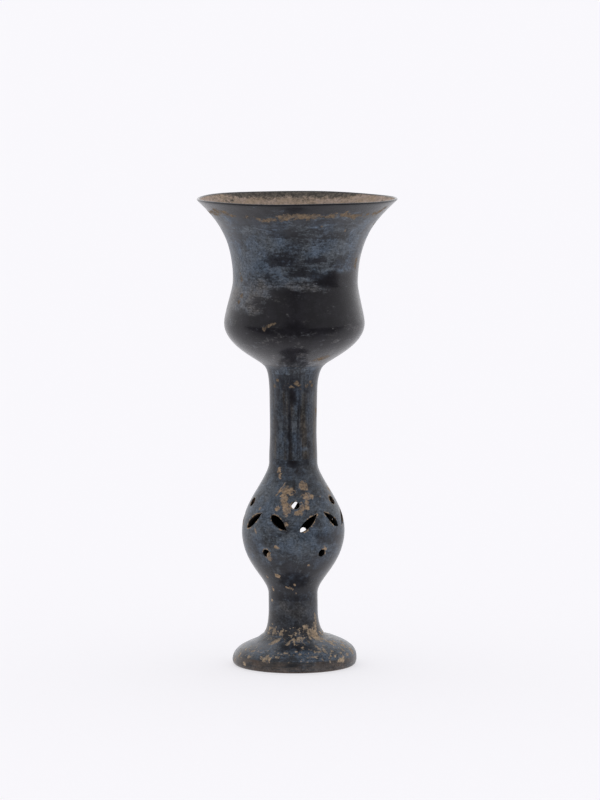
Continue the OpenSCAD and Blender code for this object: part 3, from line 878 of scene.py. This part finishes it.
def ragged():
    """A point moved a little by noise, so that the marks placed by it get ragged outlines."""
    w, given, out = effect("ragged", {"Point": VECTOR, "Amount": VALUE}, {"Point": VECTOR})
    coarse = w.noise(given["Point"], 340, 8, 0.76, "Color")
    moved = w.scaled(w.vector("SUBTRACT", coarse, (0.5, 0.5, 0.5)), given["Amount"])
    w.join(out, {"Point": w.vector("ADD", given["Point"], moved)})
    return w.tree


def crust():
    """Where earth clings: the marks it is given, broken up by fine grain."""
    inputs = {"Point": VECTOR, "Nearness": VALUE, "Breakup": VALUE}
    w, given, out = effect("earth crust", inputs, {"Mask": VALUE})
    grain = w.times(w.centred(given["Point"], 760, 6, 0.74), given["Breakup"])
    film = w.step(w.noise(given["Point"], 420, 6, 0.7), 0.38, 0.56, 0.45, 1.0)
    w.join(out, {"Mask": w.times(w.step(w.plus(given["Nearness"], grain), 0.0, 0.28), film)})
    return w.tree


def bloom():
    """Where the burnish has weathered, and on the bowl and the bulb where pale marks paint highlights: a cover broken
    up by blotches and flecks, and by streaks along the grain, over a thin haze where the cover is wide."""
    inputs = {
        "Point": VECTOR, "Broad": VECTOR, "Grain": VECTOR, "Cover": VALUE, "Blotches": VALUE, "Streaks": VALUE,
    }
    w, given, out = effect("bloom", inputs, {"Mask": VALUE})
    blotch = w.times(w.centred(given["Broad"], 125, 9, 0.7), 2.0)
    fleck = w.times(w.centred(given["Point"], 650, 5, 0.75), 1.2)
    spread = w.times(w.plus(blotch, fleck), given["Blotches"])
    streak = w.plus(w.times(w.centred(given["Grain"], 110, 8, 0.7), 1.7), w.centred(given["Grain"], 310, 7, 0.75))
    streak = w.times(streak, given["Streaks"])
    total = w.plus(w.plus(given["Cover"], spread), streak)
    haze = w.step(given["Cover"], 0.1, 0.6, 0.0, 0.3)
    w.join(out, {"Mask": w.most(w.step(total, 0.2, 0.8), haze)})
    return w.tree


def ware():
    """Colour, roughness, polish and relief of the clay from its bloom, which is weathering and on the bowl and the
    bulb partly painted highlights, and from where earth clings.
    """
    inputs = {
        "Point": VECTOR, "Grain": VECTOR, "Bloom": VALUE, "Earth": VALUE, "Burnished colour": COLOUR,
        "Bloom colour": COLOUR, "Earth colour": COLOUR,
    }
    w, given, out = effect("ware", inputs, {"Colour": COLOUR, "Roughness": VALUE, "Polish": VALUE, "Relief": VALUE})
    fine = w.noise(given["Point"], 1200, 6, 0.72)
    tint = w.noise(given["Point"], 230, 7, 0.7)
    grain = w.noise(given["Grain"], 360, 8, 0.75)
    dark = w.mix(w.step(tint, 0.42, 0.66), given["Burnished colour"], w.scaled(given["Burnished colour"], 1.7))
    mottle = w.step(w.plus(w.times(fine, 0.6), w.times(tint, 0.4)), 0.38, 0.6, 0.28, 1.0)
    hue = w.mix(w.step(w.noise(given["Point"], 120, 6, 0.7), 0.38, 0.62), WARM_TINT, COOL_TINT)
    pale = w.vector("MULTIPLY", given["Bloom colour"], hue)
    pale = w.scaled(pale, w.plus(mottle, w.step(grain, 0.5, 0.7, 0.0, 0.75)))
    clay = w.mix(given["Bloom"], dark, pale)
    soil = w.scaled(given["Earth colour"], w.step(fine, 0.36, 0.62, 0.5, 1.1))
    wear = w.plus(w.times(given["Bloom"], 0.17), w.times(given["Earth"], 0.45))
    w.join(out, {
        "Colour": w.mix(given["Earth"], clay, soil),
        "Roughness": w.plus(wear, w.step(grain, 0.35, 0.65, 0.26, 0.34)),
        "Polish": w.times(w.minus(1.0, given["Earth"]), w.step(given["Bloom"], 0.0, 0.8, 0.5, 0.37)),
        "Relief": w.plus(w.times(given["Earth"], 0.8), w.plus(w.times(fine, 0.4), w.times(grain, 0.5))),
    })
    return w.tree


def crumbs():
    """Crumbs of earth in a zone between two heights: how near a point is to the middle of one."""
    inputs = {"Point": VECTOR, "Level": VECTOR, "Height": VALUE, "Low": VALUE, "High": VALUE, "Share": VALUE}
    w, given, out = effect("crumbs", inputs, {"Nearness": VALUE})
    middle = w.times(w.plus(given["Low"], given["High"]), 0.5)
    half = w.times(w.minus(given["High"], given["Low"]), 0.5)
    off = w.math("ABSOLUTE", w.minus(given["Height"], middle))
    zone = w.step(w.math("DIVIDE", off, half), 0.2, 1.0, given["Share"], -0.2)
    grit = w.plus(w.centred(given["Point"], 620, 5, 0.68), w.centred(given["Level"], 300, 5, 0.68))
    w.join(out, {"Nearness": w.minus(w.plus(w.times(grit, 2.6), zone), 0.7)})
    return w.tree


def bare_clay():
    """Dull bare clay, with some earth, where a piece was never burnished."""
    inputs = {"Point": VECTOR, "Depth": VALUE, "Clay colour": COLOUR, "Earth colour": COLOUR}
    w, given, out = effect("bare clay", inputs, {"Mask": VALUE, "Colour": COLOUR})
    dull = w.step(w.noise(given["Point"], 300, 6, 0.66), 0.46, 0.7)
    w.join(out, {
        "Mask": w.step(given["Depth"], 0.3, 0.9),
        "Colour": w.mix(dull, given["Clay colour"], given["Earth colour"]),
    })
    return w.tree


def effects():
    """The shared node groups, built once."""
    builders = {
        "wheel marks": wheel_marks, "spot": spot, "ragged": ragged, "earth crust": crust, "bloom": bloom,
        "ware": ware, "crumbs": crumbs, "bare clay": bare_clay,
    }
    return {name: bpy.data.node_groups.get(name) or build() for name, build in builders.items()}


def nearest(w, shared, point, marks, line):
    """How near a point is to the nearest of a table of marks on a line of the cup."""
    heights = [(p.y, p.x) for p in line]
    nearness = None
    for degrees, height, half_width, half_height, *lean in marks:
        turn, z = radians(degrees), height * MM
        r = between(heights, z)
        place_at = (r * sin(turn) + between(LEAN, height) * MM, -r * cos(turn), z)
        halves = (half_width * MM, MARK_DEPTH, half_height * MM)
        axes = Euler((0, -radians(lean[0] if lean else 0), turn)).to_matrix().transposed()
        across, out, up = (tuple(axis / half) for axis, half in zip(axes, halves))
        found = w.group(shared["spot"], point=point, centre=place_at, across=across, out=out, up=up)[0]
        nearness = found if nearness is None else w.most(nearness, found)
    return nearness


def blank(name):
    """A new material with its shader. Returns the material, its wiring and its shader."""
    material = bpy.data.materials.new(name)
    material.use_nodes = True
    w = Wiring(material.node_tree)
    return material, w, material.node_tree.nodes["Principled BSDF"]


def relief(w, shader, height, strength, distance):
    """Joins a relief to the shader."""
    bump = w.add("ShaderNodeBump", {"Height": height, "Strength": strength, "Distance": distance})
    w.join(shader, {"Normal": bump.outputs[0]})


def rim_line(w, wheel):
    """A broken line of earth round the bowl, just under its rim."""
    sway = w.times(w.centred(wheel["Upright"], 90, 5, 0.7), 6.0)
    off = w.math("ABSOLUTE", w.minus(w.plus(wheel["Height"], sway), RIM_LINE))
    thick = w.step(w.noise(wheel["Upright"], 170, 6, 0.7), 0.4, 0.62, -0.75, 0.9)
    return w.times(w.minus(thick, off), 0.7)


def cut_rims(w, wheel):
    """Thin broken lines of earth along the edges of the cuts."""
    thick = w.step(w.noise(wheel["Point"], 300, 5, 0.68), 0.38, 0.6, -0.35, 0.85)
    return w.minus(thick, w.times(w.attribute("cut_edge"), 1.5))


def bare_inside(w, wheel, colours):
    """Bare clay on the faces that lie inside the cup."""
    bare = w.group(
        effects()["bare clay"], point=wheel["Point"], depth=w.attribute("inside"), clay_colour=colours.core,
        earth_colour=colours.earth,
    )
    return bare["Mask"], bare["Colour"]


def dark_inside(w, wheel, colours):
    """Sooty clay on the walls of the cuts and in the hollow of the bulb."""
    dull = w.noise(wheel["Point"], 340, 6, 0.66)
    walls = w.mix(w.step(dull, 0.55, 0.72), colours.soot, colours.rust)
    return w.step(w.attribute("inside"), 0.03, 0.3), walls


def soil_inside(w, wheel, colours):
    """Buff soil inside the bowl, thinner and greyer near the rim."""
    depth = w.attribute("inside")
    fine = w.centred(wheel["Point"], 900, 6, 0.72)
    across = w.math("ABSOLUTE", w.parts(wheel["Point"])[0])
    below = w.plus(depth, w.step(across, 0.018, 0.030, 0.0, 3.2))
    blotch = w.plus(w.centred(wheel["Broad"], 90, 9, 0.72), w.centred(wheel["Broad"], 190, 9, 0.74))
    cover = w.plus(w.step(below, 0.8, 4.5, -0.1, 0.75), w.times(blotch, 1.7))
    patch = w.step(w.plus(cover, w.times(fine, 1.6)), 0.2, 0.8)
    grey = w.mix(w.step(fine, -0.1, 0.1), colours.grime, colours.thin_soil)
    pink = w.step(w.noise(wheel["Broad"], 240, 7, 0.7), 0.42, 0.6)
    buff = w.mix(pink, colours.soil, colours.pink_soil)
    return w.step(depth, 0.05, 0.7), w.mix(patch, grey, w.scaled(buff, w.step(fine, -0.12, 0.12, 0.8, 1.2)))


def standing_edge(w, wheel, colours):
    """Brown-grey wear on the upright edge of the foot, redder in patches and where it meets the table."""
    sway = w.times(w.centred(wheel["Upright"], 60, 4, 0.6), 1.0)
    low = w.step(w.plus(wheel["Height"], sway), *EDGE_END, 1.0, 0.0)
    patch = w.step(w.noise(wheel["Broad"], 90, 6, 0.66), 0.52, 0.68, 0.0, 0.8)
    red = w.most(patch, w.step(wheel["Height"], *TABLE_RED, 1.0, 0.0))
    streak = w.step(w.noise(wheel["Level"], 130, 7, 0.7), 0.42, 0.6)
    brown = w.mix(red, w.mix(streak, colours.edge, colours.edge_grey), colours.rust)
    return low, brown, w.scaled(brown, 0.35)


def grey_film(w, wheel, colours):
    """Wear on the bowl that is blue above its waist and greyer below."""
    sway = w.times(w.centred(wheel["Broad"], 60, 6, 0.66), 14.0)
    low = w.step(w.plus(wheel["Height"], sway), *FILM_END, 1.0, 0.0)
    return low, colours.film, colours.burnished


def stem_stripes(w, wheel, colours):
    """Blue and brown stripes up the stem, and blue wear on its flare."""
    stripe = w.step(w.noise(wheel["Upright"], 100, 5, 0.66), 0.42, 0.58)
    blue = w.most(stripe, w.step(wheel["Height"], *BLUE_WEAR))
    stripes = w.mix(blue, colours.stripe_brown, colours.stripe_blue)
    return 1.0, stripes, colours.burnished


def finish(
    name, colours, line, zones, marks, grain="Level", broken=(1.0, 1.0), slope=0.0, worn=None, dust=None,
    breakup=3.0, crumb_zones=(), clinging=(), stain=None, layers=(),
):
    """A clay finish, weathered by height zones and by marks; on the bowl and the bulb some pale marks are painted
    highlights. broken is how strong its blotches and streaks are, slope tilts the zones down to the left, worn and
    dust are colours of its own for bloom and earth, breakup is how far its earth is broken up, crumb_zones are (low,
    high, share) of crumbs, clinging adds other places where earth clings, stain discolours the clay under the earth,
    and layers lie over all."""
    earth, dark, pale = marks
    shared = effects()
    material, w, shader = blank(name)
    wheel = w.group(shared["wheel marks"])
    point, along = wheel["Point"], wheel[grain]
    rough = w.group(shared["ragged"], point=point, amount=MARK_RAGGED)[0]
    level = wheel["Zone"]
    if slope:
        tilted = w.times(w.step(wheel["Height"], *TILT_FROM), w.step(wheel["Height"], *TILT_TO, 1.0, 0.0))
        level = w.plus(level, w.times(w.times(w.parts(point)[0], tilted), -slope / CUP_HEIGHT))
    cover = w.ramp(level, zones)
    # Dark marks take from the bloom's cover and pale marks add to it; the broad pale marks on the flanks of the bowl
    # and the bulb are painted highlights
    for table, gain in ((dark, DARK_GAIN), (pale, WORN_GAIN if worn else PALE_GAIN)):
        if table:
            soft = w.step(nearest(w, shared, rough, table, line), -0.5, 0.9)
            cover = w.plus(cover, w.times(soft, gain))
    # The bloom mask is weathering, and on the bowl and the bulb also those painted highlights
    weathered = w.group(
        shared["bloom"], point=point, broad=wheel["Broad"], grain=along, cover=cover, blotches=broken[0],
        streaks=broken[1],
    )[0]
    near = nearest(w, shared, rough, earth, line)
    for low, high, amount in crumb_zones:
        near = w.most(near, w.group(
            shared["crumbs"], point=point, level=wheel["Level"], height=wheel["Height"], low=low, high=high,
            share=amount,
        )[0])
    for places in clinging:
        near = w.most(near, places(w, wheel))
    cling = w.group(shared["earth crust"], point=point, nearness=w.most(near, -1.0), breakup=breakup)[0]
    burnished, pale_clay = colours.burnished, worn or colours.bloom
    if stain:
        part, over, under = stain(w, wheel, colours)
        burnished, pale_clay = w.mix(part, burnished, under), w.mix(part, pale_clay, over)
    if worn and pale:
        pale_clay = w.mix(soft, pale_clay, colours.bloom)
    surface = w.group(
        shared["ware"], point=point, grain=along, bloom=weathered, earth=cling, burnished_colour=burnished,
        bloom_colour=pale_clay, earth_colour=dust or colours.earth,
    )
    tone, roughness, polish = surface["Colour"], surface["Roughness"], surface["Polish"]
    for layer in layers:
        part, over = layer(w, wheel, colours)
        tone = w.mix(part, tone, over)
        roughness = w.plus(roughness, w.times(part, BARE_ROUGHER))
        polish = w.times(polish, w.minus(1.0, part))
    w.join(shader, {"Base Color": tone, "Roughness": roughness, "Coat Weight": polish})
    shader.inputs["Coat Roughness"].default_value = SKIN_ROUGHNESS
    shader.inputs["Specular IOR Level"].default_value = CLAY_GLOSS
    relief(w, shader, surface["Relief"], RELIEF_STRENGTH, RELIEF_DEPTH)
    return material


class CUP_OT_foot(bpy.types.Operator):
    """Turn the domed foot, hollow underneath"""

    bl_idname = "cup.foot"
    bl_label = "Foot"

    def execute(self, context):
        cup = context.scene.stem_cup
        shape = CupShape(cup)
        zones = ((0.0, 0.55), (0.021, 0.5), (0.025, 0.6), (0.04, 0.7), (0.06, 0.6), (0.1, 0.3))
        clay = finish(
            "foot clay", cup.colours, shape.foot_outer, zones, (FOOT_EARTH, FOOT_DARK, FOOT_PALE),
            dust=cup.colours.dust, crumb_zones=((7.5, 18.5, 0.58), (2.0, 11, 0.4)), stain=standing_edge,
            layers=(bare_inside,),
        )
        place(tube(shape.foot_outer, shape.foot_inner, cup.steps), "turned_foot", "foot", clay)
        return {"FINISHED"}


class CUP_OT_stems(bpy.types.Operator):
    """Turn the lower and the upper stem, with their spigots"""

    bl_idname = "cup.stems"
    bl_label = "Stems"

    def execute(self, context):
        cup = context.scene.stem_cup
        shape = CupShape(cup)
        zones = ((0.0, 0.45), (0.09, 0.45), (0.12, 0.57), (0.15, 0.52))
        lower = finish(
            "lower stem clay", cup.colours, shape.lower_outer, zones, (LOWER_STEM_EARTH, (), ()),
            broken=(0.3, 0.35), worn=cup.colours.worn, dust=cup.colours.dust, crumb_zones=(FOOT_CRUMBS,),
            layers=(bare_inside,),
        )
        zones = ((0.0, 0.4), (0.46, 0.51), (0.5, 0.54), (0.58, 0.51), (0.6, 0.45), (0.65, 0.46))
        upper = finish(
            "upper stem clay", cup.colours, shape.upper_outer, zones, (STEM_EARTH, STEM_DARK, STEM_PALE),
            grain="Upright", broken=(0.4, 0.52), worn=cup.colours.worn, dust=cup.colours.earth, breakup=3.2,
            crumb_zones=((105, 112, 0.1),), stain=stem_stripes, layers=(bare_inside,),
        )
        inner = shape.spigot_line(shape.bulb_z, 1) + shape.spigot_line(shape.lower_stem_z, -1)[::-1]
        place(tube(shape.lower_outer, inner, cup.steps), "turned_lower_stem", "lower_stem", lower)
        inner = shape.bottom_arc(cup.bowl.bottom_radius + cup.joints.slip, shape.lip_angle, shape.bore_angle)
        inner += shape.spigot_line(shape.upper_stem_z, -1)[::-1]
        place(tube(shape.upper_outer, inner, cup.steps), "turned_upper_stem", "upper_stem", upper)
        return {"FINISHED"}


class CUP_OT_bulb(bpy.types.Operator):
    """Turn the hollow bulb and pierce it with leaves and holes"""

    bl_idname = "cup.bulb"
    bl_label = "Bulb"

    def execute(self, context):
        cup = context.scene.stem_cup
        shape = CupShape(cup)
        zones = ((0.0, 0.3), (0.16, 0.28), (0.215, 0.28), (0.245, 0.55), (0.36, 0.65), (0.42, 0.5), (0.46, 0.4))
        clay = finish(
            "bulb clay", cup.colours, shape.bulb_outer, zones, (BULB_EARTH, BULB_DARK, BULB_BLOOM_AND_HIGHLIGHTS),
            broken=(0.6, 0.5), dust=cup.colours.patch, breakup=2.4,
            crumb_zones=((26, 34, 0.08), (60, 72, 0.12)), clinging=(cut_rims,), layers=(dark_inside,),
        )
        shell = tube(shape.bulb_outer, shape.bulb_inner, round(cup.steps * 4 / 3))
        bm = cut_through(shell, piercings(shape))
        mark_cut_edges(bm, shape)
        earth_lump(bm, shape)
        place(bm, "pierced_bulb", "bulb", clay)
        return {"FINISHED"}


class CUP_OT_bowl(bpy.types.Operator):
    """Turn the thin flared bowl"""

    bl_idname = "cup.bowl"
    bl_label = "Bowl"

    def execute(self, context):
        cup = context.scene.stem_cup
        shape = CupShape(cup)
        zones = (
            (0.0, 0.3), (0.655, 0.5), (0.667, 0.1), (0.78, 0.05), (0.815, 0.17), (0.835, 0.6), (0.95, 0.6),
            (0.975, 0.3), (0.982, 0.0),
        )
        clay = finish(
            "bowl clay", cup.colours, shape.bowl_outer, zones, (BOWL_EARTH, BOWL_DARK, BOWL_BLOOM_AND_HIGHLIGHTS), slope=0.4,
            clinging=(rim_line,), stain=grey_film, layers=(soil_inside,),
        )
        line = shape.bowl_outer + shape.bowl_lip + shape.bowl_inner[::-1]
        marks = [0.0] * (len(shape.bowl_outer) + len(shape.bowl_lip)) + [
            min((shape.bowl_inner[-1] - p).length / MM, INSIDE_REACH) for p in shape.bowl_inner[::-1]
        ]
        place(turned(line, marks, cup.steps, closed=False), "turned_bowl", "bowl", clay)
        return {"FINISHED"}


class CUP_OT_lutes(bpy.types.Operator):
    """Fill the four joints with slip"""

    bl_idname = "cup.lutes"
    bl_label = "Lutes"

    def execute(self, context):
        cup = context.scene.stem_cup
        shape, joints = CupShape(cup), cup.joints
        zones = ((0.0, 0.3), (0.15, 0.35), (0.46, 0.45), (0.6, 0.4), (0.63, 0.55), (0.65, 0.6))
        line = shape.lower_outer + shape.upper_outer
        clay = finish(
            "slip", cup.colours, line, zones, (STEM_EARTH + LOWER_STEM_EARTH, (), STEM_PALE), broken=(0.9, 0.8),
            dust=cup.colours.dust, crumb_zones=(FOOT_CRUMBS,), layers=(bare_inside,),
        )
        for name, seam, width, up in (
            ("foot_lute", shape.lower_stem_z, cup.lower_stem.flare_width, -1),
            ("lower_bulb_lute", shape.bulb_z, cup.lower_stem.width, 1),
            ("upper_bulb_lute", shape.upper_stem_z, cup.upper_stem.width, -1),
        ):
            face, end = seam + up * joints.slip, seam + up * joints.spigot_length
            outer = line_of((width / 2, seam), (width / 2, face))
            inner = line_of((shape.socket, face), (shape.socket, end), (shape.spigot, end), (shape.spigot, seam))
            place(tube(outer, inner, cup.steps), f"smoothed_{name}", name, clay)
        bottom = cup.bowl.bottom_radius
        fillet = curve(shape.flare, cup.upper_stem.lip_share, 1)
        inner = shape.bottom_arc(bottom, shape.seat_angle, shape.bore_angle)
        inner += shape.bottom_arc(bottom + joints.slip, shape.bore_angle, shape.lip_angle)
        place(tube(fillet, inner, cup.steps), "smoothed_bowl_lute", "bowl_lute", clay)
        return {"FINISHED"}


class CUP_OT_stage(bpy.types.Operator):
    """Set up the pale table, the soft surroundings and the camera"""

    bl_idname = "cup.stage"
    bl_label = "Stage"

    def execute(self, context):
        scene, studio = context.scene, context.scene.stem_cup.studio
        bm = bmesh.new()
        bmesh.ops.create_grid(bm, x_segments=1, y_segments=1, size=TABLE_HALF)
        mesh = bpy.data.meshes.new("table")
        bm.to_mesh(mesh)
        bm.free()
        table = bpy.data.objects.new("table", mesh)
        scene.collection.objects.link(table)
        material, w, shader = blank("table")
        ahead = w.parts(w.add("ShaderNodeTexCoord").outputs["Object"])[1]
        mirrored = w.add("ShaderNodeLightPath").outputs["Is Glossy Ray"]
        near = w.step(ahead, DIM_NEAR, DIM_FAR, DIM_SHARE, 0.0)
        tone = w.scaled(tuple(studio.floor), w.minus(1.0, w.times(mirrored, near)))
        w.join(shader, {"Base Color": tone, "Emission Color": tone})
        shader.inputs["Roughness"].default_value = 0.9
        shader.inputs["Specular IOR Level"].default_value = 0.0
        shader.inputs["Emission Strength"].default_value = studio.glow
        mesh.materials.append(material)
        self.surroundings(scene, studio)
        self.camera(scene, studio)
        scene.view_settings.view_transform = "Standard"
        return {"FINISHED"}

    def surroundings(self, scene, studio):
        """White behind and above, dimmer towards the front, and dark round the camera."""
        world = scene.world or bpy.data.worlds.new("studio")
        scene.world = world
        world.use_nodes = True
        w = Wiring(world.node_tree)
        facing = w.parts(w.add("ShaderNodeTexCoord").outputs["Generated"])[1]
        away = w.plus(w.times(facing, 0.5), 0.5)
        dark, side = studio.front / studio.sky, studio.side / studio.sky
        level = w.ramp(away, (
            (0.0, dark), (0.01, dark), (0.05, side * 0.75), (0.2, side), (0.4, side * 1.25), (0.64, 0.71),
            (0.82, 0.84), (0.95, 1.0),
        ))
        background = world.node_tree.nodes["Background"]
        background.inputs["Color"].default_value = (*studio.light, 1)
        w.join(background, {"Strength": w.times(level, studio.sky)})

    def camera(self, scene, studio):
        """A long lens that looks slightly down on the cup."""
        lens = bpy.data.cameras.new("camera")
        lens.lens, lens.sensor_width, lens.sensor_fit = studio.lens, 36.0, "AUTO"
        lens.clip_start, lens.clip_end = 0.05, 100.0
        camera = bpy.data.objects.new("camera", lens)
        camera.location = (0.0, -studio.distance, studio.height)
        camera.rotation_euler = (Vector(studio.aim) - camera.location).to_track_quat("-Z", "Y").to_euler()
        scene.collection.objects.link(camera)
        scene.camera = camera


class CUP_PT_panel(bpy.types.Panel):
    """Lists the cup's pieces and its stage"""

    bl_idname = "CUP_PT_panel"
    bl_label = "Stem cup"
    bl_space_type = "VIEW_3D"
    bl_region_type = "UI"
    bl_category = "Stem cup"

    def draw(self, context):
        for operator in PIECES:
            self.layout.operator(operator.bl_idname)


PIECES = (CUP_OT_foot, CUP_OT_stems, CUP_OT_bulb, CUP_OT_bowl, CUP_OT_lutes, CUP_OT_stage)
CLASSES = (
    FootSizes, LowerStemSizes, BulbSizes, PiercingSizes, UpperStemSizes, BowlSizes, JointSizes, WareColours,
    StudioSettings, CupSettings, *PIECES, CUP_PT_panel,
)


def register():
    for made in CLASSES:
        bpy.utils.register_class(made)
    bpy.types.Scene.stem_cup = PointerProperty(type=CupSettings)


def unregister():
    del bpy.types.Scene.stem_cup
    for made in reversed(CLASSES):
        bpy.utils.unregister_class(made)


def main():
    register()
    bpy.ops.cup.foot()
    bpy.ops.cup.stems()
    bpy.ops.cup.bulb()
    bpy.ops.cup.bowl()
    bpy.ops.cup.lutes()
    bpy.ops.cup.stage()


if __name__ == "__main__":
    main()
